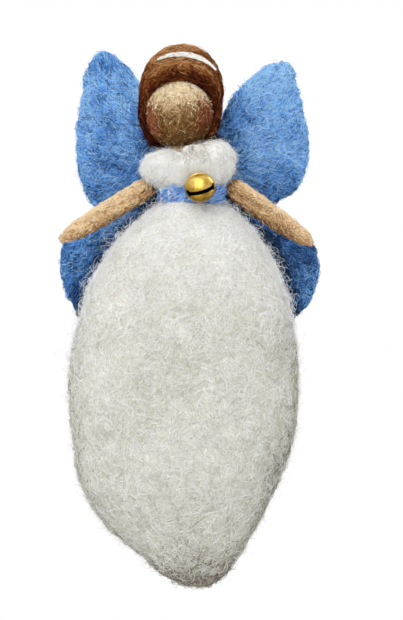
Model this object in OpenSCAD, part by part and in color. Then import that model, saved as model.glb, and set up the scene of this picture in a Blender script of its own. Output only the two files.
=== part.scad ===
// Needle-felted wool fairy with a jingle bell at the waist, in millimetres.
// The origin is the centre of the tied neck. +Z runs up to the crown, the face looks along -Y,
// and +X is to the right as seen from the front.

/* [Head] */
// Radius of the felted head ball
head_r = 11.6; // [10.4:0.2:12.6]
// Height of the head ball's lowest point above the neck tie
head_lift = 0.8; // [0.6:0.1:1.6]
// How far the head's centre stands forward of the neck
head_forward = 1; // [0:0.1:2]
// How far the head's centre lies left of the neck
head_aside = 0.7; // [0:0.1:1]
// Width of the rosy tuft on the left cheek
cheek_left_w = 8.2; // [5:0.2:8.4]
// Width of the rosy tuft on the right cheek
cheek_right_w = 9.2; // [5:0.2:9.4]
// How far the rosy tufts stand proud of the head
cheek_rise = 0.5; // [0.3:0.05:0.9]
// Angle from the face's middle out to the left tuft
cheek_left_out = 49; // [42:1:49]
// Angle of the left tuft under level
cheek_left_drop = 22; // [0:1:26]
// Angle from the face's middle out to the right tuft
cheek_right_out = 45; // [42:1:46]
// Angle of the right tuft under level
cheek_right_drop = 0; // [-4:1:20]

/* [Hair] */
// Sideways tilt of the hair and cheeks on the head, clockwise as seen from the front
hair_tilt = 4; // [0:1:6]
// Thickness of the hair at the sides and the back
hair_t = 2.2; // [1.6:0.1:2.8]
// Extra height of the hair over the crown
crown_h = 9.4; // [6:0.2:11]
// Angle from the face's middle up to the hairline
hairline_top = 58; // [54:1:60]
// Angle from the face's middle across to the hairline at the sides
hairline_side = 70; // [69:1:76]
// Angle from the face's middle round to the hair's lower edge at the nape
hairline_nape = 140; // [130:1:150]
// Width of the white headband
band_w = 1.3; // [1:0.1:2]
// Thickness of the headband on the hair
band_t = 0.5; // [0.4:0.1:1]

/* [Neck and torso] */
// Radius of the wool neck
neck_r = 4.2; // [3.4:0.1:4.6]
// Depth of the neck's socket in the head, from the tie
neck_top = 3.6; // [3:0.1:5]
// Thickness of the thread that ties the neck
thread_d = 0.5; // [0.3:0.05:0.6]
// Turns of thread round the neck
thread_turns = 3; // [2:1:3]
// Sideways lean of the torso from under the head
torso_x = 2.5; // [1.6:0.1:3]
// Radius of the rolled wool core of the torso
core_r = 6.8; // [6.8:0.1:7.2]
// Depth of the core's upper end under the neck tie
core_top = 4; // [3.6:0.1:4.6]
// Depth of the core's lower end under the neck tie
core_low = 62; // [50:1:75]

/* [Bodice] */
// Reach of the left half, left of the neck
bodice_left_x = 14.1; // [13.6:0.1:15]
// Height of the left half's top over the neck tie
bodice_left_top = -0.4; // [-0.8:0.1:0.6]
// Reach of the right half, right of the neck
bodice_right_x = 17.8; // [17.2:0.1:18.4]
// Height of the right half's top over the neck tie
bodice_right_top = 3; // [1:0.1:3.4]
// Half depth of both halves, front to back
bodice_d = 11; // [10.4:0.1:11.4]
// Depth of the left half's lower end under the neck tie
bodice_left_low = 12.4; // [12:0.1:13.8]
// Depth of the right half's lower end under the neck tie
bodice_right_low = 14; // [13.4:0.1:14.6]
// Lean of the left half's upper and lower ends towards the neck
bodice_left_lean = 1.4; // [0:0.1:2]
// Lean of the right half's upper end away from the neck, and of its lower end towards it
bodice_right_lean = 1.2; // [0:0.1:2]
// Place of the flat back that the wings are felted on
back_y = 9.8; // [9.2:0.1:10]

/* [Arms] */
// Radius of the wool round each arm
arm_r = 3.6; // [2.8:0.1:3.8]
// Length of the left arm from the bend at the shoulder
arm_left_len = 37.5; // [32:0.5:40]
// Length of the right arm from the bend at the shoulder
arm_right_len = 36; // [30:0.5:38]
// Droop of the left arm under level
arm_left_droop = 31; // [20:1:33]
// Droop of the right arm under level
arm_right_droop = 35; // [24:1:37]
// Place of the bend at the left shoulder, left of the neck
shoulder_left_x = 8.8; // [8.6:0.1:9.4]
// Place of the bend at the right shoulder, right of the neck
shoulder_right_x = 14.4; // [14:0.1:15]
// Depth of the arm wire under the neck tie
shoulder_low = 10.9; // [10.6:0.1:11.6]
// Thickness of the twisted arm wire
wire_d = 1.2; // [0.8:0.1:1.6]

/* [Sash] */
// Width of the sash across the waist
sash_w = 25; // [24:0.2:26]
// Half depth of the sash, front to back
sash_d = 9.4; // [9:0.1:9.8]
// Depth of the sash's upper edge under the neck tie
sash_top = 10; // [9.4:0.1:10.6]
// Depth of the waist, where sash and skirt meet, under the neck tie
waist_low = 17.6; // [17:0.1:18.4]

/* [Bell] */
// Radius of the jingle bell
bell_r = 5; // [4.4:0.1:5.2]
// Thickness of the bell's sheet metal
bell_wall = 0.4; // [0.3:0.05:0.6]
// Width of the slot across the bell
slot_w = 1.2; // [0.8:0.1:1.6]
// Radius of the round holes that end the slot
slot_hole_r = 1.1; // [0.9:0.05:1.3]
// Radius of the loose ball in the bell
pea_r = 1.6; // [1.3:0.1:1.9]
// Radius of the shank's eye to the middle of its wire
shank_r = 1.4; // [1.2:0.05:1.5]
// Thickness of the shank's wire
shank_d = 0.7; // [0.5:0.05:0.8]
// Place of the bell, right of the neck
bell_x = 6; // [5:0.1:7]
// Depth of the bell's centre under the neck tie
bell_low = 12.8; // [12.4:0.1:13.4]
// Turn of the slotted end down from straight ahead
bell_pitch = 19; // [14:1:24]
// Turn of the slotted end to the right
bell_yaw = 8; // [4:1:12]
// Tilt of the slot up to the right
slot_tilt = 17; // [0:1:40]

/* [Skirt] */
// Length of the skirt from the waist to its point
skirt_h = 127.8; // [115:0.2:140]
// Greatest half width of the skirt
skirt_w = 37.8; // [33:0.2:40]
// Greatest bulge of the skirt to the front
skirt_front = 20; // [16:0.5:23]
// Greatest bulge of the skirt to the back
skirt_back = 11; // [8:0.5:11.5]
// Place of the skirt's point, right of the neck
skirt_tip_x = 5.9; // [2:0.1:8]

/* [Wings] */
// Thickness of the wing felt
wing_t = 3.6; // [2.6:0.1:4.2]
// Reach of the upper left wing from its root
upper_left_reach = 29.8; // [26:0.2:32]
// Reach of the upper right wing from its root
upper_right_reach = 34.4; // [30:0.2:36]
// Height of the upper left wing's tip over the neck tie
upper_left_tip = 33.8; // [29:0.2:36]
// Height of the upper right wing's tip over the neck tie
upper_right_tip = 30.8; // [26:0.2:33]
// Reach of the lower left wing from its root
lower_left_reach = 35.8; // [31:0.2:37]
// Reach of the lower right wing from its root
lower_right_reach = 38.2; // [33:0.2:39]
// Depth of the lower wings' ends under the neck tie
lower_wing_end = 60; // [54:0.5:64]
// Half width of the pad that the wings spring from
root_half_w = 7.2; // [6.8:0.1:7.6]
// Half height of the pad that the wings spring from
root_half_h = 12.5; // [11:0.5:14]
// Backward lean of the wings at rest
wing_lean = 6; // [4:0.5:10]
// Backward curl of the wings towards their outer edges
wing_curl = 2.5; // [0:0.1:4]
// Backward slope of the wings above and below their roots
wing_slope = 0.25; // [0:0.05:0.4]

/* [Hidden] */
$fn = 48;

// Room between pieces that move on different joints
clear = 0.4;
// Room round a piece that turns in a socket
fit = 0.08;
// Steps round every lofted wool form
ring_steps = 32;
// Largest lift and drop of an arm, and lift of the bell
arm_lift = 70;
arm_drop = 6;
bell_lift = 20;

// How square the rings of the sash and the skirt are: 2 is round
ring_square = 2.2;

head_z = head_r + head_lift;
head_c = [-head_aside, -head_forward, head_z];
// The faceted hair lies outside the true ball by the height of its facets.
hair_rings = 9;
hair_in = head_r / (cos(90 / hair_rings) * cos(180 / ring_steps)) + 0.02;
hair_side_r = head_r + hair_t;
// The hair's lowest reach, which the bodice clears
hair_floor = min([for (p = [180 : 5 : 360]) head_z + hair_side_r * face_dir(max(90, hairline(p)), p)[2]]);
// Its lowest reach forward of the ears; side is -1 on the left and 1 on the right
function ear_floor(side) =
    min([for (a = [0 : 3 : 90]) let (p = side < 0 ? 180 + a : -a)
        if (hairline(p) <= 90) head_z + hair_side_r * face_dir(90, p)[2]]);
thread_pitch = 2 * thread_d;
shoulder_left = [-shoulder_left_x, 0, -shoulder_low];
shoulder_right = [shoulder_right_x, 0, -shoulder_low];
sash_x = torso_x * 1.48;
// The wings hang behind the hair, clear of it as the head turns.
wing_y = hair_side_r + clear + wing_t / 2;
root_x = torso_x * 0.52;
hinge_left_x = root_x - root_half_w - clear;
hinge_right_x = root_x + root_half_w + clear;
bell_y = -sash_d - bell_r - 2 * clear;
bell_c = [bell_x, bell_y, -bell_low];

function ease(a, b, x) =
    let (u = min(1, max(0, (x - a) / (b - a)))) u * u * (3 - 2 * u);

// Catmull-Rom point at share u between the second and third of four points
function curve_point(a, b, c, d, u) =
    0.5 * (2 * b + (c - a) * u + (2 * a - 5 * b + 4 * c - d) * u * u
        + (3 * b - a - 3 * c + d) * u * u * u);

// Smooth open curve through the points, with steps points in every stretch
function open_curve(p, steps) =
    let (last = len(p) - 1)
    [for (i = [0 : last - 1], k = [0 : steps - 1])
        curve_point(p[max(0, i - 1)], p[i], p[i + 1], p[min(last, i + 2)], k / steps),
        p[last]];

// Smooth closed curve through the points
function closed_curve(p, steps) =
    let (n = len(p))
    [for (i = [0 : n - 1], k = [0 : steps - 1])
        curve_point(p[(i + n - 1) % n], p[i], p[(i + 1) % n], p[(i + 2) % n], k / steps)];

function mean(p) = [for (axis = [0 : len(p[0]) - 1]) [for (q = p) q[axis]] * [for (q = p) 1]] / len(p);

// Level ring of a wool form: half width w, bulge f to the front and b to the back
function wool_ring(c, w, f, b, squareness) =
    [for (i = [0 : ring_steps - 1])
        let (a = 360 * i / ring_steps,
            x = sign(cos(a)) * pow(abs(cos(a)), 2 / squareness),
            y = sign(sin(a)) * pow(abs(sin(a)), 2 / squareness))
        c + [w * x, y < 0 ? f * y : b * y, 0]];

// Closed solid over rings of equal length, each end drawn in to its middle
module loft(rings) {
    n = len(rings[0]);
    last = len(rings) - 1;
    side = [for (k = [0 : last - 1], i = [0 : n - 1])
        let (j = (i + 1) % n)
        each [[k * n + i, (k + 1) * n + i, k * n + j], [k * n + j, (k + 1) * n + i, (k + 1) * n + j]]];
    first_end = [for (i = [0 : n - 1]) [(last + 1) * n, i, (i + 1) % n]];
    last_end = [for (i = [0 : n - 1]) [(last + 1) * n + 1, last * n + (i + 1) % n, last * n + i]];
    points = concat([for (r = rings) each r], [mean(rings[0]), mean(rings[last])]);
    polyhedron(points, concat(side, first_end, last_end), convexity = 6);
}

// Egg of wool with its middle at c; its ends lean to the side, and the upper one forward too
module wool_egg(c, w, d, h, top_lean, low_lean, front_lean) {
    levels = 11;
    loft([for (k = [0 : levels])
        let (a = -82 + 164 * k / levels, share = pow(cos(a), 0.8), rise = sin(a) / sin(82),
            aside = rise > 0 ? top_lean * rise : -low_lean * rise)
        wool_ring(c + [aside, -front_lean * max(0, rise), h * rise], w * share,
            d * share, d * share, 2.5)]);
}

// Direction at angle t from the face's middle and angle p round the face
function face_dir(t, p) = [sin(t) * cos(p - hair_tilt), -cos(t), sin(t) * sin(p - hair_tilt)];
function hairline(p) =
    hairline_side - (hairline_side - hairline_top) * max(0, sin(p))
        + (hairline_nape - hairline_side) * pow(max(0, -sin(p)), 4);
// Outer radius of the hair at angle t from the face's middle and angle p round the face
function hair_out(t, p) =
    hair_side_r + crown_h * pow(max(0, sin(t) * sin(p)), 2) * ease(40, 80, t);
// Angular width of the front roll, drawn in to nothing at both lower ends
function roll_w(p) =
    let (end = min(ease(-56, -16, p), ease(-56, -16, 180 - p)))
    (21 - 12 * max(0, sin(p))) * end;
function parting(p) = hairline(p) + roll_w(p);
function band_angle(p) = band_w / hair_out(parting(p) + 4, p) * 180 / PI;

// How far each half of the bodice would reach past the middle, if the other weren't there
overlap = neck_r * 0.95;

// Half of the bodice from x0 to x1, before it is cut to its neighbours
module bodice_form(x0, x1, top, low, top_lean, low_lean) {
    wool_egg([(x0 + x1) / 2, 0, (top - low) / 2], (x1 - x0) / 2, bodice_d, (top + low) / 2,
        top_lean, low_lean, bodice_d * 0.4);
}

module bodice_right_form() {
    bodice_form(-overlap, bodice_right_x, bodice_right_top, bodice_right_low,
        bodice_right_lean, -bodice_right_lean);
}

// Barrel of wound wool round the waist
module sash_form() {
    h = waist_low - sash_top;
    loft([for (k = [0 : 8])
        let (u = k / 8, swell = 0.86 + 0.14 * sin(180 * u))
        wool_ring([sash_x, 0, -waist_low + h * u], sash_w / 2 * swell, sash_d * swell,
            sash_d * swell, ring_square)]);
}

// Room that an arm needs as it swings at the shoulder; side is -1 on the left and 1 on the right
module arm_room(side, at, droop) {
    r = arm_r + clear;
    low = -droop - arm_drop - 2;
    high = arm_lift - droop + 2;
    translate(at) rotate([90, 0, 0]) linear_extrude(2 * r, center = true)
    mirror([side < 0 ? 1 : 0, 0]) {
        circle(r);
        for (a = [low : (high - low) / 4 : high]) rotate(a) translate([-r / 5, -r])
        square([26 + r / 5, 2 * r]);
        polygon([[0, 0], for (a = [low : (high - low) / 8 : high]) 26 * [cos(a), sin(a)]]);
    }
}

// Room that the head and hair need as they turn on the neck
module head_room() {
    reach = norm([head_aside, head_forward]) + clear;
    translate([0, 0, head_z]) sphere(head_r + reach);
    intersection() {
        translate([0, 0, head_z]) sphere(hair_side_r + reach);
        union() {
            translate([0, 0, hair_floor - clear]) linear_extrude(60)
            polygon([[0, 0], [-50, -40], [-50, 50], [50, 50], [50, -40]]);
            translate([-50, -50, ear_floor(-1) - clear]) cube([50, 50, 60]);
            translate([-1, -50, ear_floor(1) - clear]) cube([51, 50, 60]);
        }
    }
}

// Everything that the bodice halves are felted round or stand clear of
module bodice_cuts() {
    torso_core_form();
    translate([0, 0, -core_top]) cylinder(r = neck_r + thread_d + clear, h = 20);
    wire_bore();
    arm_room(-1, shoulder_left, arm_left_droop);
    arm_room(1, shoulder_right, arm_right_droop);
    head_room();
    sash_form();
    shank_pocket();
    translate([-50, back_y, -50]) cube([100, 20, 100]);
}

module wire_bore() {
    translate(shoulder_left) rotate([0, 90, 0])
    cylinder(d = wire_d, h = shoulder_left_x + shoulder_right_x);
}

module torso_core_form() {
    round_r = core_r * 0.6;
    translate([torso_x, 0, 0]) rotate_extrude() {
        translate([0, -core_low + round_r]) square([core_r, core_low - round_r - core_top]);
        translate([0, -core_low]) square([core_r - round_r, round_r]);
        translate([core_r - round_r, -core_low + round_r]) intersection() {
            circle(round_r);
            translate([0, -round_r]) square(round_r);
        }
    }
}

// Stations down the skirt: share of its length, of its greatest width, place of its middle,
// share of its front bulge and of its back bulge
skirt_line = [[0, 0.22, torso_x * 1.2, 0.42, 0.76], [0.012, 0.3, torso_x * 1.3, 0.5, 0.78],
    [0.045, 0.44, torso_x * 1.3, 0.6, 0.8], [0.087, 0.58, torso_x, 0.7, 0.83],
    [0.155, 0.74, torso_x * 0.9, 0.82, 0.88],
    [0.25, 0.885, torso_x * 0.6, 0.92, 0.94], [0.38, 0.985, torso_x * 0.34, 0.98, 0.98],
    [0.51, 1, torso_x * 0.1, 1, 1], [0.63, 0.96, torso_x * 0.08, 0.97, 0.98],
    [0.74, 0.85, torso_x * -0.4, 0.9, 0.92], [0.84, 0.65, skirt_tip_x * 0.02, 0.76, 0.8],
    [0.93, 0.395, skirt_tip_x * 0.49, 0.54, 0.6], [0.985, 0.175, skirt_tip_x * 0.86, 0.28, 0.34],
    [1, 0.05, skirt_tip_x, 0.08, 0.1]];

module skirt_form() {
    loft([for (s = open_curve(skirt_line, 2))
        wool_ring([s[2], 0, -waist_low - skirt_h * s[0]], skirt_w * s[1], skirt_front * s[3],
            skirt_back * s[4], ring_square)]);
}

// Tube of thread along a line of points
module thread_tube(line, d) {
    sides = 6;
    last = len(line) - 1;
    loft([for (i = [0 : last])
        let (run = line[min(last, i + 1)] - line[max(0, i - 1)],
            t = run / norm(run),
            u = cross([0, 0, 1], t) / norm(cross([0, 0, 1], t)),
            v = cross(t, u))
        [for (k = [0 : sides - 1])
            let (a = 360 * k / sides)
            line[i] + d / 2 * (u * cos(a) - v * sin(a))]]);
}

// Winding of the neck thread, clear of the neck by the height of its facets
neck_line = [for (a = [0 : 15 : 360 * thread_turns])
    let (r = neck_r + thread_d / 2 + 0.05)
    [r * cos(a), r * sin(a), thread_pitch * (a / 360 - thread_turns / 2) - core_top * 0.3]];
neck_gap = min([for (i = [0 : len(neck_line) - 1], j = [i + 12 : 1 : len(neck_line) - 1])
    norm(neck_line[i] - neck_line[j])]) - thread_d;
echo(least_gap_of_neck_thread_to_itself = neck_gap);

// Tuft of wool on the head, width w, at angle t from the face's middle and p round the face
module cheek(t, p, w) {
    height = head_r + cheek_rise - sqrt(head_r * head_r - w * w / 4);
    r = (w * w / 4 + height * height) / (2 * height);
    difference() {
        translate(head_c + (head_r + cheek_rise - r) * face_dir(t, p)) sphere(r, $fn = 240);
        translate(head_c) sphere(head_r, $fn = 240);
    }
}

// Wool of an arm: it starts past the bend, swells and tapers to a rounded hand
module arm_wool(len) {
    start = wire_d * 2 / 3;
    line = [[0, start], [arm_r * 0.48, start + arm_r * 0.06], [arm_r * 0.82, start + arm_r * 0.42],
        [arm_r * 0.97, start + arm_r * 1.2],
        [arm_r, len * 0.35], [arm_r * 0.96, len * 0.6], [arm_r * 0.82, len * 0.8],
        [arm_r * 0.55, len * 0.93], [arm_r * 0.25, len * 0.985], [0, len]];
    difference() {
        rotate_extrude() polygon(line);
        cylinder(d = wire_d, h = arm_wire_len(len));
    }
}

function arm_wire_len(len) = len * 0.86;

module arm_wire(len) {
    sphere(d = wire_d);
    cylinder(d = wire_d, h = arm_wire_len(len));
}

// Turns a piece drawn upwards to an arm's direction
module at_arm(side, at, droop) {
    translate(at) rotate([0, side * (90 + droop), 0]) children();
}

// Outlines of the wings as shares of reach and height, from the root outwards
upper_left_shape = [[0, -0.35], [0, 0.06], [0.2, 0.55], [0.38, 0.82], [0.66, 1], [0.86, 0.88], [0.97, 0.4],
    [1, 0.04], [0.93, -0.28], [0.78, -0.57], [0.36, -0.48]];
upper_right_shape = [[0, -0.385], [0, 0.06], [0.2, 0.54], [0.46, 0.83], [0.74, 1], [0.88, 0.85], [0.95, 0.4],
    [1, 0], [0.92, -0.32], [0.74, -0.51], [0.52, -0.6], [0.24, -0.51]];
lower_left_shape = [[0, -0.4], [0, -0.212], [0.3, -0.288], [0.68, -0.342], [0.92, -0.43], [1, -0.63],
    [0.95, -0.83], [0.74, -0.99], [0.46, -0.93], [0.18, -0.66]];
lower_right_shape = [[0, -0.4], [0, -0.212], [0.24, -0.278], [0.5, -0.325], [0.86, -0.43], [1, -0.63],
    [0.93, -0.84], [0.7, -0.99], [0.44, -0.93], [0.18, -0.66]];

// How far a wing bows back at share u of its reach and height z over the neck tie
function wing_bow(u, z) = wing_slope * (norm([z, root_half_h]) - root_half_h) * ease(0, 0.4, u);

// Felt pad of a wing: even in the middle and rounded off to its outline
module wing_pad(shape, reach, height, side) {
    edge = [for (q = closed_curve(shape, 3)) [q[0] * reach, q[1] * height]];
    n = len(edge);
    middle = mean(edge);
    shares = [1, 0.96, 0.86, 0.5, 0.02];
    function felt(q, s, face) =
        let (r = middle + (q - middle) * s,
            u = r[0] / reach,
            half = wing_t / 2 * sqrt(1 - pow(s, 6)))
        [side * r[0], wing_curl * u * u + wing_bow(u, r[1]) + face * half, r[1]];
    front = [for (k = [len(shares) - 1 : -1 : 1]) [for (q = edge) felt(q, shares[k], -1)]];
    back = [for (s = shares) [for (q = edge) felt(q, s, 1)]];
    rings = concat(front, back);
    loft(side > 0 ? rings : [for (k = [len(rings) - 1 : -1 : 0]) rings[k]]);
}

module at_wing(side, x) {
    translate([x, wing_y, 0]) rotate([0, 0, side * wing_lean]) children();
}

// Direction from the bell's centre to its shank, and height of the shank's eye along it
bell_up = [-cos(bell_pitch) * sin(bell_yaw), cos(bell_pitch) * cos(bell_yaw), sin(bell_pitch)];
eye_z = bell_r + shank_r * 0.7;
// Radius of the stitch that holds the shank
stitch_r = shank_d / 2 + thread_d / 2 + clear * 1.25;

// Upright pocket in the wool for the shank's eye as the bell swings on its stitch
module shank_pocket() {
    r = shank_r + shank_d / 2 + shank_r * sin(bell_lift) + clear;
    below = bodice_right_low + 0.5;
    top = bell_c[2] + eye_z * bell_up[2] + r;
    translate([bell_c[0] + eye_z * bell_up[0], bell_c[1] + eye_z * bell_up[1], -below])
    cylinder(r = r, h = top + below);
}

// Turns the bell from slotted end down to its place on the doll
module at_bell() {
    translate(bell_c) rotate([bell_pitch - 90, 0, bell_yaw]) children();
}

module bell_shell() {
    difference() {
        sphere(bell_r);
        sphere(bell_r - bell_wall);
    }
}

module skirt() {
    color([0.86, 0.85, 0.8]) difference() {
        skirt_form();
        torso_core_form();
    }
}

module torso_core() {
    color([0.82, 0.8, 0.74]) difference() {
        torso_core_form();
        wire_bore();
    }
}

module neck() {
    color([0.8, 0.66, 0.48]) translate([0, 0, -core_top])
    cylinder(r = neck_r, h = neck_top + core_top);
}

module neck_thread() {
    color([0.85, 0.84, 0.8]) thread_tube(neck_line, thread_d);
}

module bodice_left() {
    color([0.88, 0.88, 0.85]) difference() {
        bodice_form(-bodice_left_x, torso_x + overlap, bodice_left_top, bodice_left_low,
            bodice_left_lean, bodice_left_lean);
        bodice_right_form();
        bodice_cuts();
    }
}

module bodice_right() {
    color([0.86, 0.86, 0.83]) difference() {
        bodice_right_form();
        bodice_cuts();
    }
}

module sash() {
    color([0.4, 0.55, 0.75]) difference() {
        sash_form();
        torso_core_form();
        wire_bore();
        shank_pocket();
        arm_room(-1, shoulder_left, arm_left_droop);
        arm_room(1, shoulder_right, arm_right_droop);
    }
}

module shoulder_wire() {
    inset = wire_d / 2 + 0.2;
    color([0.6, 0.6, 0.62]) translate(shoulder_left + [inset, 0, 0]) rotate([0, 90, 0])
    cylinder(d = wire_d, h = shoulder_left_x + shoulder_right_x - 2 * inset);
}

module wing_root() {
    depth = wing_y + wing_t / 2 - back_y;
    color([0.33, 0.49, 0.7])
    loft([for (a = [-80 : 20 : 80])
        let (share = pow(cos(a), 0.5), z = root_half_h * (sin(a) / sin(80) - 0.86))
        wool_ring([root_x, back_y + max(0, z) * 0.4, z], root_half_w * share, 0, depth * share, 2.6)]);
}

module bell_thread() {
    color([0.85, 0.84, 0.8]) at_bell() translate([0, 0, eye_z + shank_r])
    rotate([0, 90, 0]) rotate_extrude() translate([stitch_r, 0]) circle(thread_d / 2);
}

module head_ball() {
    color([0.8, 0.66, 0.48]) difference() {
        translate(head_c) sphere(head_r);
        translate([0, 0, -core_top]) cylinder(r = neck_r + fit, h = neck_top + core_top + clear);
    }
}

module cheek_left() {
    color([0.55, 0.3, 0.22]) cheek(cheek_left_out, 180 + cheek_left_drop, cheek_left_w);
}

module cheek_right() {
    color([0.52, 0.27, 0.18]) cheek(cheek_right_out, -cheek_right_drop, cheek_right_w);
}

module hair_front() {
    color([0.36, 0.2, 0.09])
    loft([for (p = [-46 : 12 : 227])
        let (from = hairline(p), to = parting(p) - 0.5)
        concat(
            [for (u = [1, 0.66, 0.33, 0]) head_c + hair_in * face_dir(from + (to - from) * u, p)],
            [for (u = [0.06, 0.2, 0.45, 0.7, 1])
                let (t = from + (to - from) * u,
                    full = hair_out(t, p) - hair_in,
                    swell = sqrt(1 - pow(1 - min(1, u / 0.7), 2)))
                head_c + (hair_in + full * swell) * face_dir(t, p)])]);
}

// Angles round the face at which the hair's back is drawn
hair_p = [for (i = [0 : ring_steps - 1]) 360 * i / ring_steps - 90];
// Angle from the face's middle of the hair's station k, the first two under the headband
function hair_t_at(k, p) =
    let (from = parting(p) + band_angle(p))
    k == 0 ? parting(p) : from + (178.5 - from) * (k - 1) / hair_rings;

module hair_back() {
    inner = [for (k = [hair_rings + 1 : -1 : 0])
        [for (p = hair_p) head_c + hair_in * face_dir(hair_t_at(k, p), p)]];
    outer = [for (k = [0 : hair_rings + 1])
        [for (p = hair_p) let (t = hair_t_at(k, p)) head_c + hair_out(t, p) * face_dir(t, p)]];
    color([0.34, 0.18, 0.08]) loft(concat(inner, outer));
}

// Angles round the face at which the headband starts and ends
band_from = 53;
band_to = 117;

module headband() {
    color([0.9, 0.89, 0.86])
    loft([for (p = [band_from : (band_to - band_from) / 12 : band_to])
        let (taper = 0.3 + 0.7 * sin(180 * (p - band_from) / (band_to - band_from)),
            middle = (hair_t_at(0, p) + hair_t_at(1, p)) / 2, half = band_angle(p) / 2 * taper,
            t0 = middle - half, t1 = middle + half, r0 = hair_out(t0, p) + fit, r1 = hair_out(t1, p) + fit)
        [head_c + r1 * face_dir(t1, p), head_c + r0 * face_dir(t0, p),
            head_c + (r0 + band_t * 0.8) * face_dir(t0 + (t1 - t0) * 0.12, p),
            head_c + ((r0 + r1) / 2 + band_t) * face_dir((t0 + t1) / 2, p),
            head_c + (r1 + band_t * 0.8) * face_dir(t0 + (t1 - t0) * 0.88, p)]]);
}

module arm_left() {
    color([0.82, 0.68, 0.5]) at_arm(-1, shoulder_left, arm_left_droop) arm_wool(arm_left_len);
}

module arm_wire_left() {
    color([0.6, 0.6, 0.62]) at_arm(-1, shoulder_left, arm_left_droop) arm_wire(arm_left_len);
}

module arm_right() {
    color([0.82, 0.68, 0.5]) at_arm(1, shoulder_right, arm_right_droop) arm_wool(arm_right_len);
}

module arm_wire_right() {
    color([0.6, 0.6, 0.62]) at_arm(1, shoulder_right, arm_right_droop) arm_wire(arm_right_len);
}

module wing_upper_left() {
    color([0.36, 0.53, 0.74]) at_wing(-1, hinge_left_x)
    wing_pad(upper_left_shape, upper_left_reach, upper_left_tip, -1);
}

module wing_lower_left() {
    color([0.32, 0.45, 0.62]) at_wing(-1, hinge_left_x)
    wing_pad(lower_left_shape, lower_left_reach, lower_wing_end, -1);
}

module wing_upper_right() {
    color([0.4, 0.58, 0.8]) at_wing(1, hinge_right_x)
    wing_pad(upper_right_shape, upper_right_reach, upper_right_tip, 1);
}

module wing_lower_right() {
    color([0.28, 0.4, 0.55]) at_wing(1, hinge_right_x)
    wing_pad(lower_right_shape, lower_right_reach, lower_wing_end, 1);
}

module bell_top() {
    color([0.75, 0.6, 0.25]) at_bell() intersection() {
        bell_shell();
        translate([-10, -10, 0]) cube([20, 20, 10]);
    }
}

module bell_cup() {
    hole_t = 62;
    color([0.75, 0.6, 0.25]) at_bell() difference() {
        bell_shell();
        translate([-10, -10, 0]) cube([20, 20, 10]);
        rotate([0, 0, -slot_tilt]) {
            translate([-bell_r * sin(hole_t), -slot_w / 2, -10])
            cube([2 * bell_r * sin(hole_t), slot_w, 10]);
            for (s = [-1, 1]) rotate([0, s * (180 - hole_t), 0]) cylinder(r = slot_hole_r, h = 10);
        }
    }
}

module bell_shank() {
    color([0.7, 0.56, 0.24]) at_bell() difference() {
        translate([0, 0, eye_z]) rotate([90, 0, 0]) rotate_extrude()
        translate([shank_r, 0]) circle(shank_d / 2);
        sphere(bell_r);
    }
}

module bell_pea() {
    low = bell_r - bell_wall - pea_r - clear * 0.75;
    color([0.35, 0.34, 0.33]) translate(bell_c - [0, 0, low]) sphere(pea_r);
}

skirt();
torso_core();
neck();
neck_thread();
bodice_left();
bodice_right();
sash();
shoulder_wire();
wing_root();
bell_thread();
head_ball();
cheek_left();
cheek_right();
hair_front();
hair_back();
headband();
arm_left();
arm_wire_left();
arm_right();
arm_wire_right();
wing_upper_left();
wing_lower_left();
wing_upper_right();
wing_lower_right();
bell_top();
bell_cup();
bell_shank();
bell_pea();
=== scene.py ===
"""Looks of the wool felt fairy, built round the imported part.
Lengths are in metres, or in millimetres where a comment or docstring says so."""

import itertools
import math

import bmesh
import bpy
import numpy as np
from mathutils import Matrix, Vector
from mathutils.bvhtree import BVHTree


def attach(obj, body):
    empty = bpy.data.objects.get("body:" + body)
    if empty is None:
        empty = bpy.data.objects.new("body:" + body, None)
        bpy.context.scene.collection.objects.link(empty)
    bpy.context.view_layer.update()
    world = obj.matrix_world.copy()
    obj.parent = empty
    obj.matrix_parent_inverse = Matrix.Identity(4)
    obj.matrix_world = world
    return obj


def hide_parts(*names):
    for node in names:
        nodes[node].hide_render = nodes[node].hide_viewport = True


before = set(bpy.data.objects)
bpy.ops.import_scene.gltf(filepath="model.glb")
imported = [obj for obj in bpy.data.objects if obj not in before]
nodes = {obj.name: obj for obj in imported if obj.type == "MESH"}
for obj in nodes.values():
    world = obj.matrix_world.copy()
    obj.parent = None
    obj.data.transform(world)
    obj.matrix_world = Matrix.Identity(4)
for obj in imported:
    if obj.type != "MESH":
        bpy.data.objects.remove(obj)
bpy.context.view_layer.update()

MM = 0.001
SIDES = ("left", "right")
scene = bpy.context.scene

# Places and sizes that part.scad has too
HEAD = np.array((-0.7, -1, 12.4)) * MM
HEAD_R = 11.6 * MM
TORSO_X = 2.5 * MM
SHOULDERS = {"left": np.array((-8.8, 0, -10.9)) * MM, "right": np.array((14.4, 0, -10.9)) * MM}
DROOPS = {"left": 31, "right": 35}
ARM_R = 3.6 * MM
BELL = np.array((6, -15.2, -12.8)) * MM
BELL_HINGE = np.array((5, -8.3, -10.4)) * MM
BELL_R, BELL_WALL = 5 * MM, 0.4 * MM
BELL_PITCH, BELL_YAW, SLOT_TILT, SLOT_HOLE_T = 19, 8, 17, 62
SHANK_R = 1.4 * MM
THREAD_D, THREAD_PITCH = 0.5 * MM, 1 * MM
NECK_R, NECK_TURNS, NECK_TIE_Z = 4.5 * MM, 3, -1.2 * MM
STITCH_R, EYE_Z = 1.1 * MM, BELL_R + 0.7 * SHANK_R + SHANK_R

# The bell's slot and its end holes, a little wider than in part.scad, as they look in the photo
SLOT_W, SLOT_HOLE_R = 1.4 * MM, 1.2 * MM

# Seeds of the soft patches
(WING_CLOUDS, WING_SPOTS, HAIR_SPOTS, SKIRT_CLOUDS, SKIRT_SPOTS, BODICE_SPOTS,
 CURL_WAYS) = range(901, 908)

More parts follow.
